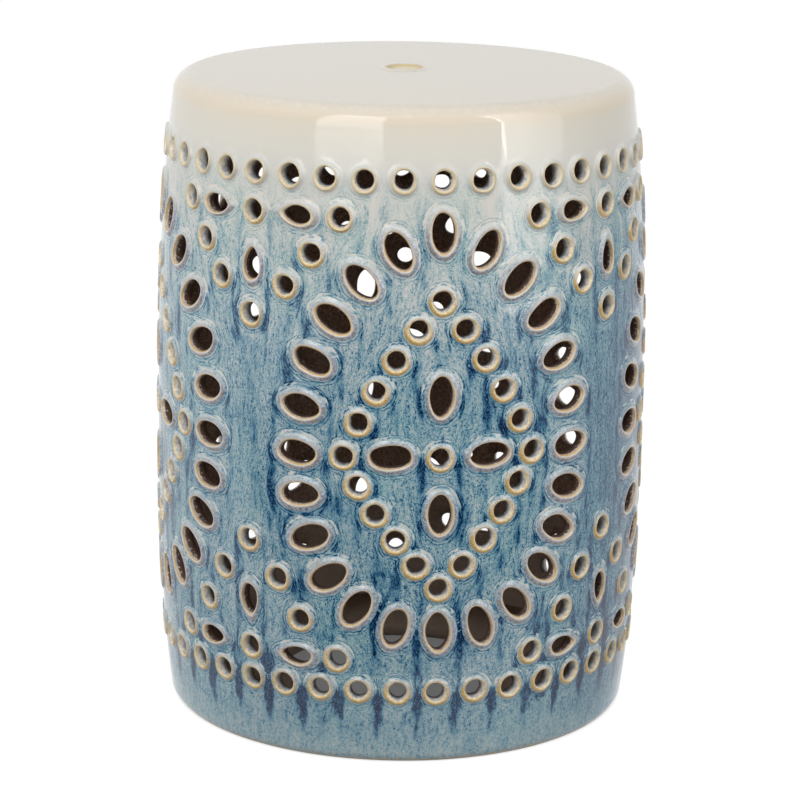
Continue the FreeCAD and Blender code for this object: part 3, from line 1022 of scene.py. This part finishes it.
def make_glaze():
    g = Glaze(bpy.data.materials.new("running_glaze"))
    tone, busy = streaked_tone(g)
    tone = tone - gathered_cobalt(g) - fine_lines(g) + pale_hoods_and_glints(g)
    # Glaze just above each collar is lightened, a painted highlight on the collars' upper flanks.
    painted_sheen_above = g.clear.span(4.5, 1.0) * g.under.span(0.3, -0.8, 0.25, 1.0)
    tone = tone + painted_sheen_above * busy * 0.1
    way_up = g.rise + (g.speck.swing(0.4) + g.blot.swing(0.4)) * g.rise.span(0.0, 0.15)
    hole, bare = hole_colour(g)
    in_hole = g.depth.span(0.0, 0.1)
    tan_edge = (g.length(g.place.stretch((1, 1, 0))) + g.speck.swing(1.2)).span(*TAN_REACH)
    wiped = (g.z + g.long.swing(4.0)).span(*WIPED_FOOT)
    colour = g.mix(way_up.span(0.06, 0.14), ground_colour(g, tone, busy), ring_colour(g, way_up, tone))
    colour = g.mix(in_hole, colour, hole)
    colour = g.mix(tan_edge * g.z.span(*TAN_RISE), colour, srgb(211, 193, 150))
    colour = g.mix(wiped, colour, srgb(196, 180, 156))
    bumps = g.noise(g.place, 0.12, 1.0) * 0.3 + g.streak * 0.12 + g.rain * busy * 0.07
    roughness = busy * g.rain.span(0.3, 0.7, 0.03, 0.09) + 0.06 + wiped * 0.5
    roughness = roughness + bare * g.depth.span(0.0, 0.1, 0.0, 0.6)
    roughness = roughness + g.z.span(*FLAT_SEAT_FROM, 0.0, FLAT_SEAT_ROUGHNESS, "SMOOTHSTEP")
    bump = g.bump(0.8, bumps * g.z.by_height(BUMPS))
    return g.principled({"Base Color": colour, "Roughness": roughness, "Normal": bump})


def make_clay():
    tree = Tree(bpy.data.materials.new("raw_clay"))
    place = tree.millimetres()
    grain = tree.noise(place, 0.5, 3.0, 0.65)
    patches = tree.noise(place, 0.05, 3.0)
    colour = grain.span(0.3, 0.7).ramp(CLAY_TONES)
    colour = tree.mix(patches.span(0.4, 0.65, 0.0, 0.35), colour, srgb(160, 144, 130))
    # The lining is paler towards the bottom: painted light on the lower part of the lining.
    low = tree.along("Z", place).span(130.0, 40.0, 0.0, 0.6)
    colour = tree.mix(low, colour, srgb(214, 198, 184))
    roughness, bump = patches.span(0.3, 0.7, 0.8, 0.9), tree.bump(0.7, grain * 0.5)
    return tree.principled({"Base Color": colour, "Roughness": roughness, "Normal": bump})


glaze, clay = make_glaze(), make_clay()
BOTH = (glaze, clay)
PIECES = [
    ("drum_wall_glazed", make_wall, "pierced_wall", "glaze_blue", BOTH, (WALL_BOTTOM, WALL_TOP)),
    ("seat_glazed", make_seat, "seat_cap", "glaze_cream", BOTH, (WALL_TOP,)),
    ("finger_hole_collar_glazed", make_collar, "finger_hole_collar", "glaze_cream", (glaze,), (SEAT_TOP,)),
    ("base_hoop_glazed", make_hoop, "base_hoop", "glaze_blue", BOTH, (WALL_BOTTOM, 0.0)),
    ("floor_ring_raw", make_floor_ring, "floor_ring", "raw_stoneware", BOTH, (FLOOR_LEVEL,)),
]
for name, make, node, slot, materials, creases in PIECES:
    piece = make().make(name, materials, creases)
    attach(piece, "root")
    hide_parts(node)

# Floor, light and camera, in metres. The floor is white where the camera sees it, but for
# the stool's shadow, and darker in the foot of the drum, where a faint glow is kept: painted
# light on the floor seen through the holes.
FLOOR_HALF = 30.0
FLOOR_GREY = 0.25
FLOOR_GLOW = 1.34
DRUM_FOOT = (0.155, 0.165)
GLOW_SHARES = (0.08, 0.74)
WORLD_LIGHT = 0.12
CARD_NEAR, CARD_FAR, CARD_HALF, CARD_LEVEL = 0.3, 2.6, 1.0, 0.002
BLACK = (0.02, 0.02, 0.02, 1.0)
AIM_LEVEL = 0.23
# Lamps: degrees round the stool from the camera, distance, level of the middle, width,
# height, brightness, and whether the glaze mirrors them
LAMPS = [
    ("key_softbox", -25, 1.7, 1.485, 0.94, 1.73, 3.6, True),
    ("key_fill", -25, 1.71, 1.485, 0.94, 1.73, 1.9, False),
    ("key_foot_0", -25, 1.7, 0.595, 0.94, 0.05, 3.5, True),
    ("key_foot_1", -25, 1.7, 0.545, 0.94, 0.05, 2.3, True),
    ("key_foot_2", -25, 1.7, 0.48, 0.94, 0.08, 1.4, True),
    ("key_edge", -25, 1.72, 2.42, 0.94, 0.1, 8.0, True),
    ("side_softbox", 54, 1.7, 1.35, 0.4, 2.5, 2.7, True),
    ("side_fill", 54, 1.71, 1.35, 0.4, 2.5, 0.4, False),
    ("side_middle", 64.6, 1.7, 1.35, 0.24, 2.5, 2.0, True),
    ("side_tail", 73.6, 1.7, 1.35, 0.3, 2.5, 1.5, True),
    ("edge_strip", 46.8, 1.69, 1.35, 0.05, 2.5, 9.0, True),
    ("upper_front_box", 2, 1.5, 2.6, 0.2, 0.08, 12.0, True),
    ("left_fill", -88, 1.8, 1.0, 1.2, 1.8, 1.9, False),
    ("right_fill", 74, 1.8, 0.8, 1.0, 1.5, 0.6, False),
    ("back_fill_left", -152, 2.0, 0.6, 1.4, 1.2, 2.1, False),
    ("back_fill_right", 152, 2.0, 0.6, 1.4, 1.2, 2.1, False),
]


def seen(tree):
    """1 for what the camera, a glossy surface or glass sees, and 0 for all other light."""
    rays = [f"Is {kind} Ray" for kind in ("Camera", "Glossy", "Transmission")]
    camera, glossy, through = [tree.node("LightPath", output=ray) for ray in rays]
    return camera.at_least(glossy).at_least(through)


def ground_piece(name, low, high, half):
    """A rectangle on the ground, from y = low to y = high."""
    corners = [(-half, low, 0), (half, low, 0), (half, high, 0), (-half, high, 0)]
    mesh = bpy.data.meshes.new(name)
    mesh.from_pydata(corners, [], [(0, 1, 2, 3)])
    return new_object(name, mesh)


def make_floor():
    floor = ground_piece("studio_floor", -FLOOR_HALF, FLOOR_HALF, FLOOR_HALF)
    tree = Tree(bpy.data.materials.new("pale_floor"))
    from_axis = tree.length(tree.node("TexCoord", output="Object"))
    share = seen(tree) * from_axis.span(*DRUM_FOOT, *GLOW_SHARES)
    ground = tree.node("BsdfDiffuse", {"Color": (FLOOR_GREY, FLOOR_GREY, FLOOR_GREY, 1.0)})
    glow = tree.node("Emission", {"Strength": FLOOR_GLOW})
    mixed = tree.node("MixShader", {0: share, 1: ground, 2: glow})
    floor.data.materials.append(tree.surface(mixed))


def make_world():
    """A white world to the camera and the glaze, which gives the stool only a little light."""
    bpy.context.scene.world = bpy.data.worlds.new("studio")
    tree = Tree(bpy.context.scene.world)
    strength = seen(tree).span(0.0, 1.0, WORLD_LIGHT, 1.0)
    light = tree.node("Background", {"Color": (1.0, 1.0, 1.0, 1.0), "Strength": strength})
    tree.surface(light, "OutputWorld")


def softbox(name, side, distance, level, width, height, brightness, mirrored):
    """An area lamp that faces the stool; a tall or a low one stands upright."""
    lamp = bpy.data.lights.new(name, "AREA")
    lamp.shape = "RECTANGLE"
    lamp.size, lamp.size_y = width, height
    lamp.energy = brightness * math.pi * width * height
    box = new_object(name, lamp)
    turn = math.radians(CAMERA_ANGLE + side)
    box.location = (distance * math.sin(turn), -distance * math.cos(turn), level)
    aim = Vector((0.0, 0.0, AIM_LEVEL)) - box.location
    if height > 1.0 or level < 1.0:
        aim.z = 0.0
    box.rotation_mode = "QUATERNION"
    box.rotation_quaternion = aim.to_track_quat("-Z", "Y")
    box.visible_camera = False
    box.visible_glossy = mirrored


def floor_card():
    """A black card on the floor in front of the stool, seen only in its glaze."""
    card = ground_piece("floor_card", -CARD_FAR, -CARD_NEAR, CARD_HALF)
    card.location = (0.0, 0.0, CARD_LEVEL)
    card.rotation_euler = (0.0, 0.0, math.radians(CAMERA_ANGLE))
    black = Tree(bpy.data.materials.new("black_card"))
    card.data.materials.append(black.principled({"Base Color": BLACK, "Roughness": 1.0}))
    for ray in ("camera", "diffuse", "shadow", "transmission", "volume_scatter"):
        setattr(card, "visible_" + ray, False)


def make_camera():
    data = bpy.data.cameras.new("photo_camera")
    data.sensor_width = SENSOR
    data.lens = FOCAL_PIXELS / FRAME_PIXELS * SENSOR
    data.clip_end = 100.0
    camera = new_object("photo_camera", data)
    turn = math.radians(CAMERA_ANGLE)
    place = Vector((math.sin(turn), -math.cos(turn), 0.0)) * CAMERA_DISTANCE * MM
    place.z = CAMERA_HEIGHT * MM
    pose = Matrix.Translation(place) @ Matrix.Rotation(turn, 4, "Z")
    pose = pose @ Matrix.Rotation(math.pi / 2.0 - CAMERA_PITCH, 4, "X")
    camera.matrix_world = pose @ Matrix.Rotation(CAMERA_ROLL, 4, "Z")
    bpy.context.scene.camera = camera


make_floor()
make_world()
for lamp in LAMPS:
    softbox(*lamp)
floor_card()
make_camera()
bpy.context.scene.view_settings.view_transform = "Standard"
